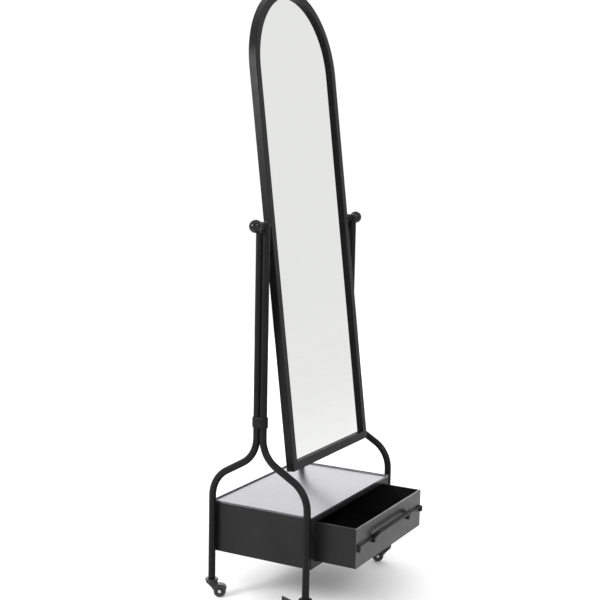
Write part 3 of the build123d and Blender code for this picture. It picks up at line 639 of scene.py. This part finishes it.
def knob(sign, side):
    """Ball with a short neck on the end of its pivot stud."""
    low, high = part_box(f"{side}_knob")
    ball_r = (high.z - low.z) / 2
    tip = high.x if sign > 0 else -low.x
    neck = low.x if sign > 0 else -high.x
    ball_at = tip - ball_r
    flare_r = KNOB_NECK_R + KNOB_NECK_FLARE
    meet = pi - atan2(flare_r, sqrt(ball_r ** 2 - flare_r ** 2))
    profile = [(neck, 0.0), (neck, KNOB_NECK_R - KNOB_NECK_EASE)]
    profile += [(neck + KNOB_NECK_EASE, KNOB_NECK_R), (neck + KNOB_NECK_L, KNOB_NECK_R)]
    for i in range(40):
        turn = meet * (1 - i / 40)
        profile.append((ball_at + ball_r * cos(turn), ball_r * sin(turn)))
    profile.append((ball_at + ball_r, 0.0))
    points, faces = lathe(profile, (0, PIVOT.y, PIVOT.z), (sign, 0, 0), 64)
    piece(f"{side}_ball_knob", points, faces, KNOB, f"{side}_clamp", [f"{side}_knob"], smooth_angle=50)
    paint(f"{side}_pivot_stud", ZINC)


knob(-1, "left")
knob(1, "right")
for node in ("pivot_washers", "pivot_bushes"):
    paint(node, NYLON)


# ---- mirror -------------------------------------------------------------------------------
def stations(inset, corner_r):
    """The mirror's outline seen from the front, as (x, up from the pivot), moved inwards by inset."""
    half_w = MIRROR_HALF_W - inset
    foot = -MIRROR_BELOW + inset
    out = [(-half_w, ARCH_UP * k / 6) for k in range(5, -1, -1)]
    out += [(-half_w, foot * k / 8) for k in range(1, 8)]
    for centre_x, start in ((-half_w + corner_r, 180), (half_w - corner_r, 270)):
        for i in range(5):
            turn = radians(start + 90 * i / 4)
            out.append((centre_x + corner_r * cos(turn), foot + corner_r + corner_r * sin(turn)))
    out += [(half_w, foot * k / 8) for k in range(7, 0, -1)]
    out += [(half_w, ARCH_UP * k / 6) for k in range(0, 6)]
    out += [(half_w * cos(pi * i / ARCH_STEPS), ARCH_UP + half_w * sin(pi * i / ARCH_STEPS))
            for i in range(ARCH_STEPS + 1)]
    return out


def leaning(x, up, depth):
    """A point of the mirror, from its front view place and its depth behind the frame's front."""
    return LEAN @ Vector((x, PIVOT.y - PIVOT_DEPTH + depth, PIVOT.z + up))


def frame_section():
    """Section of the frame's channel as (inset, depth), open at the back."""
    soft = FRAME_SOFT
    section = [(0.0, FRAME_DEPTH)]
    section += [(soft * (1 - cos(t)), soft * (1 - sin(t))) for t in QUARTER_TURN]
    section += [(FRAME_FACE - soft * (1 - sin(t)), soft * (1 - cos(t))) for t in QUARTER_TURN]
    inner = FRAME_FACE - FRAME_WALL
    section += [(FRAME_FACE, GLASS_RECESS), (inner, GLASS_RECESS)]
    section += [(inner, FRAME_WALL), (FRAME_WALL, FRAME_WALL), (FRAME_WALL, FRAME_DEPTH)]
    return section


def mirror_frame():
    """Arched channel frame with softened edges."""
    rings = []
    for inset, depth in frame_section():
        corner_r = max(FRAME_CORNER_R - inset, FRAME_INNER_CORNER_R)
        rings.append([leaning(x, up, depth) for x, up in stations(inset, corner_r)])
    points, faces = loft(rings, loop=True)
    piece("arched_frame", points, faces, BLACK, "mirror", ["mirror_frame"], bevel=FRAME_BEVEL)


def mirror_plate(name, inset, depth, thickness, material, node, soft):
    """A flat plate with the mirror's outline and slightly eased edges."""
    layers = [(inset + soft, depth), (inset, depth + soft), (inset, depth + thickness - soft),
              (inset + soft, depth + thickness)]
    rings = [[leaning(x, up, d) for x, up in stations(i, PLATE_CORNER_R)] for i, d in layers]
    points, faces = loft(rings)
    piece(name, points, faces, material, "mirror", [node])


mirror_frame()
mirror_plate("mirror_pane", FRAME_FACE - GLASS_SEAT, GLASS_RECESS, GLASS_T, MIRROR, "mirror_glass",
             GLASS_EASE)
mirror_plate("backing_panel", FRAME_WALL + BACKING_GAP, GLASS_RECESS + GLASS_T, BACKING_T, BOARD,
             "mirror_backing", BACKING_EASE)
refined("backing_tabs", ZINC, THIN_EASE)
refined("pivot_blocks", BLACK, CAST_EASE)
paint("pivot_spacers", BLACK)

# ---- cabinet and drawer -------------------------------------------------------------------
refined("cabinet_top", TOP, SHEET_EASE)
for node in ("cabinet_left_side", "cabinet_right_side", "cabinet_back", "cabinet_bottom",
             "cabinet_front_frame", "drawer_left_side", "drawer_right_side", "drawer_back",
             "drawer_bottom"):
    refined(node, SHEET_BLACK, SHEET_EASE)
refined("drawer_front", LIT_DRAWER_FRONT, SHEET_EASE)
for node in ("left_drawer_rail", "right_drawer_rail", "drawer_slide_bars", "handle_nuts"):
    refined(node, ZINC, THIN_EASE)
refined("drawer_glide_pads", NYLON, SMALL_EASE)
paint("drawer_buffers", RUBBER)
refined("leg_spacers", BLACK, SPACER_EASE)
refined("leg_screws", ZINC, SMALL_EASE)
paint("leg_inserts", ZINC)


def spot_welds():
    """Shallow round weld marks down both edges of the cabinet's back and the drawer's back."""
    for node, body, columns in (("cabinet_back", "stand", 6), ("drawer_back", "drawer", 4)):
        low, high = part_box(node)
        marks = []
        for x in (low.x + MARK_IN, high.x - MARK_IN):
            for k in range(columns):
                z = low.z + MARK_IN + (high.z - low.z - 2 * MARK_IN) * k / (columns - 1)
                profile = [(-MARK_UP, MARK_R), (MARK_UP * 0.5, MARK_R * 0.97), (MARK_UP, MARK_R * 0.85),
                           (MARK_UP * 0.6, MARK_R * 0.6), (MARK_UP * 0.4, 0.0)]
                marks.append(lathe(profile, (x, high.y, z), (0, 1, 0), 24))
        points, faces = joined(marks)
        piece(f"{node}_spot_welds", points, faces, SHEET_BLACK, body)


spot_welds()


def upright_block(x, front, centre_z, width, height, thickness, soft):
    """Points and faces of a tall block with round ends and softened front and back edges."""
    def outline(shrink, y):
        half_w, straight = width / 2 - shrink, (height - width) / 2
        ring = []
        for sign in (1, -1):
            for i in range(17):
                turn = pi * i / 16 + (0 if sign > 0 else pi)
                z = centre_z + sign * straight + half_w * sin(turn)
                ring.append(Vector((x + half_w * cos(turn), y, z)))
        return ring

    layers = [(soft * (1 - sin(t)), front + soft * (1 - cos(t))) for t in QUARTER_TURN]
    back = front + thickness
    layers += [(0, back - BLOCK_EASE), (BLOCK_EASE, back)]
    return loft([outline(shrink, y) for shrink, y in layers])


def handle():
    """Rod with end bosses and a raised grip that is clamped on it."""
    low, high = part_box("handle_rod")
    axis = (low + high) / 2
    r = (high.z - low.z) / 2
    points, faces = sweep([(x, axis.y, axis.z) for x in (low.x, 0, high.x)], r, 24)
    piece("rod", points, faces, BLACK, "drawer", ["handle_rod"])
    reach = sqrt(GRIP_OUT ** 2 + GRIP_RISE ** 2)
    up = Vector((0, -GRIP_OUT / reach, GRIP_RISE / reach))
    flat = [(-GRIP_HALF, GRIP_START)]
    for centre, start in (((GRIP_BEND_R - GRIP_HALF), 180), ((GRIP_HALF - GRIP_BEND_R), 90)):
        for i in range(13):
            turn = radians(start - 90 * i / 12)
            flat.append((centre + GRIP_BEND_R * cos(turn),
                         reach - GRIP_BEND_R + GRIP_BEND_R * sin(turn)))
    flat.append((GRIP_HALF, GRIP_START))
    path = [Vector((x, axis.y, axis.z)) + up * along for x, along in flat]
    points, faces = sweep(path, GRIP_R, 32)
    piece("grip_bar", points, faces, BLACK, "drawer", ["handle_grip"])
    front_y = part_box("drawer_front")[0].y
    for sign, side in ((-1, "left"), (1, "right")):
        points, faces = upright_block(sign * GRIP_HALF, axis.y - CLAMP_T / 2, axis.z - CLAMP_DROP,
                                      CLAMP_W, CLAMP_H, CLAMP_T, CLAMP_SOFT)
        piece(f"{side}_grip_clamp", points, faces, BLACK, "drawer", smooth_angle=40)
        points, faces = upright_block(sign * high.x, front_y - BOSS_T, axis.z - BOSS_DROP,
                                      BOSS_W, BOSS_H, BOSS_T, BOSS_SOFT)
        stands_for = ["handle_end_bosses"] if sign < 0 else ()
        piece(f"{side}_handle_boss", points, faces, BLACK, "drawer", stands_for, smooth_angle=40)


handle()


# ---- casters ------------------------------------------------------------------------------
def caster(name, braked):
    """Finish one caster: socket disc, fork, wheel, axle and, at the front, its brake pedal."""
    swivel = Vector(joints[f"{name}_swivel_turn"]["pos_m"])
    roll = joints[f"{name}_wheel_roll"]
    centre, axis = Vector(roll["pos_m"]), Vector(roll["axis"])
    low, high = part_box(f"{name}_wheel")
    wheel_r = (high.z - low.z) / 2
    half = WHEEL_W / 2
    tread = [(-half + inward, radius) for inward, radius in WHEEL_FACE] + [(-half, wheel_r - TREAD_R)]
    tread += arc(-half + TREAD_R, wheel_r - TREAD_R, TREAD_R, 172, 92, 6)
    profile = tread + [(-a, r) for a, r in reversed(tread)] + [tread[0]]
    points, faces = lathe(profile, centre, axis, 72)
    piece(f"{name}_tyre", points, faces, WHEEL, f"{name}_roller", [f"{name}_wheel"], smooth_angle=45)

    reach = WHEEL_W / 2 + WHEEL_GAP + FORK_T
    rivet_end = [(reach, RIVET_R)] + [(reach + RIVET_HEAD * up, radius) for up, radius in RIVET_DOME]
    rivet = [(-along, radius) for along, radius in reversed(rivet_end)] + rivet_end
    points, faces = lathe(rivet, centre, axis, 40)
    piece(f"{name}_rivet", points, faces, ZINC, f"{name}_swivel", [f"{name}_axle"])
    refined(f"{name}_fork", CASTER, CAST_EASE)
    if braked:
        refined(f"{name}_brake_pedal", PEDAL, PEDAL_EASE)
        trail = (centre - swivel) * Vector((1, 1, 0))
        pin = Vector(joints[f"{name}_brake_press"]["pos_m"])
        slope = Vector((*(trail.normalized() * cos(PEDAL_LIFT)).xy, sin(PEDAL_LIFT)))
        start = Vector((*pin.xy, pin.z + PEDAL_T)) + slope * RIB_START
        ribs = []
        for k in range(RIB_COUNT):
            rib_at = start + slope * RIB_PITCH * k
            path = [rib_at + axis * across for across in (-RIB_HALF, 0, RIB_HALF)]
            ribs.append(sweep(path, RIB_R, 16))
        points, faces = joined(ribs)
        piece(f"{name}_pedal_ribs", points, faces, PEDAL, f"{name}_brake")

    soft = SOCKET_SOFT
    profile = [(SOCKET_LOW_Z - down, radius) for down, radius in KINGPIN_END]
    profile += [(SOCKET_LOW_Z - KINGPIN_NECK, KINGPIN_R), (SOCKET_LOW_Z, KINGPIN_R)]
    profile += [(SOCKET_LOW_Z, SOCKET_R - soft)]
    profile += arc(SOCKET_LOW_Z + soft, SOCKET_R - soft, soft, 180, 90, 5)[1:]
    profile += arc(SOCKET_HIGH_Z - soft, SOCKET_R - soft, soft, 90, 0, 5)
    seat_z, plug_z = SOCKET_HIGH_Z + PLUG_SEAT_UP, SOCKET_HIGH_Z + PLUG_L
    profile += [(SOCKET_HIGH_Z, PLUG_SEAT_R), (seat_z, PLUG_SEAT_R), (seat_z, PLUG_R)]
    profile += [(plug_z - PLUG_CHAMFER, PLUG_R), (plug_z, PLUG_R - PLUG_CHAMFER), (plug_z, 0.0)]
    points, faces = lathe(profile, (swivel.x, swivel.y, 0), (0, 0, 1), 64)
    stands_for = ["caster_sockets"] if name == "front_left" else ()
    piece(f"{name}_socket", points, faces, CASTER, "stand", stands_for)


for name in ("front_left", "front_right", "back_left", "back_right"):
    caster(name, name.startswith("front"))


# ---- studio -------------------------------------------------------------------------------
def floor():
    """Plain, flat, pale floor that reaches far past the view."""
    mesh = bpy.data.meshes.new("studio_floor")
    half = 45.0
    corners = [(-half, -half, 0), (half, -half, 0), (half, half, 0), (-half, half, 0)]
    mesh.from_pydata(corners, [], [(0, 1, 2, 3)])
    obj = bpy.data.objects.new("studio_floor", mesh)
    bpy.context.scene.collection.objects.link(obj)
    m = Nodes("pale_floor")
    clouds = m.spread(m.noise(2.0), 0.0, 1.0)
    m.feed("Base Color", m.mix(clouds, (0.75, 0.75, 0.75), (0.78, 0.78, 0.78)))
    m.feed("Roughness", m.spread(m.noise(6.0), 0.7, 0.85))
    mesh.materials.append(m.material)


def area_light(name, at, aim, size, power, colour=(1, 1, 1)):
    """Soft rectangular light that points at a place."""
    data = bpy.data.lights.new(name, "AREA")
    data.shape = "RECTANGLE"
    data.size, data.size_y = size
    data.energy = power
    data.color = colour
    obj = bpy.data.objects.new(name, data)
    bpy.context.scene.collection.objects.link(obj)
    obj.location = at
    obj.rotation_euler = (Vector(aim) - Vector(at)).to_track_quat("-Z", "Y").to_euler()


def world(level, overhead):
    """White surroundings, brighter overhead than at the horizon."""
    scene_world = bpy.data.worlds.new("studio_world")
    scene_world.use_nodes = True
    tree = scene_world.node_tree
    direction = tree.nodes.new("ShaderNodeTexCoord").outputs["Generated"]
    split = tree.nodes.new("ShaderNodeSeparateXYZ")
    tree.links.new(direction, split.inputs["Vector"])
    rise = tree.nodes.new("ShaderNodeMapRange")
    rise.interpolation_type = "SMOOTHSTEP"
    rise.inputs["From Min"].default_value = 0.25
    rise.inputs["From Max"].default_value = 0.9
    rise.inputs["To Min"].default_value = level
    rise.inputs["To Max"].default_value = overhead
    tree.links.new(split.outputs["Z"], rise.inputs["Value"])
    tree.links.new(rise.outputs["Result"], tree.nodes["Background"].inputs["Strength"])
    tree.nodes["Background"].inputs["Color"].default_value = (1, 1, 1, 1)
    bpy.context.scene.world = scene_world


def camera():
    """Front left view, slightly from above."""
    yaw, pitch, roll = radians(-61.514), radians(7.325), radians(1.126)
    ahead = Vector((-sin(yaw) * cos(pitch), cos(yaw) * cos(pitch), -sin(pitch)))
    level = Vector((cos(yaw), sin(yaw), 0))
    above = level.cross(ahead)
    right = cos(roll) * level + sin(roll) * above
    top = cos(roll) * above - sin(roll) * level
    data = bpy.data.cameras.new("camera")
    data.lens = 70.24
    data.sensor_width = 36.0
    data.clip_end = 100.0
    obj = bpy.data.objects.new("camera", data)
    turned = Matrix((right, top, -ahead)).transposed().to_4x4()
    obj.matrix_world = Matrix.Translation((-2.9364, -1.5027, 1.2560)) @ turned
    bpy.context.scene.collection.objects.link(obj)
    bpy.context.scene.camera = obj


floor()
world(1.03, 1.5)
area_light("big_back_right", (3.2, 2.6, 1.9), aim=(0, 0, 0.6), size=(4.0, 3.0), power=62,
           colour=(0.96, 0.95, 1.0))
area_light("rim_left", (-2.6, 1.6, 2.0), aim=(0, 0, 1.3), size=(0.9, 1.0), power=90)
area_light("key_left", (-2.2, -3.0, 2.8), aim=(0, 0, 0.8), size=(1.4, 1.4), power=60)
camera()
bpy.context.scene.view_settings.view_transform = "Standard"
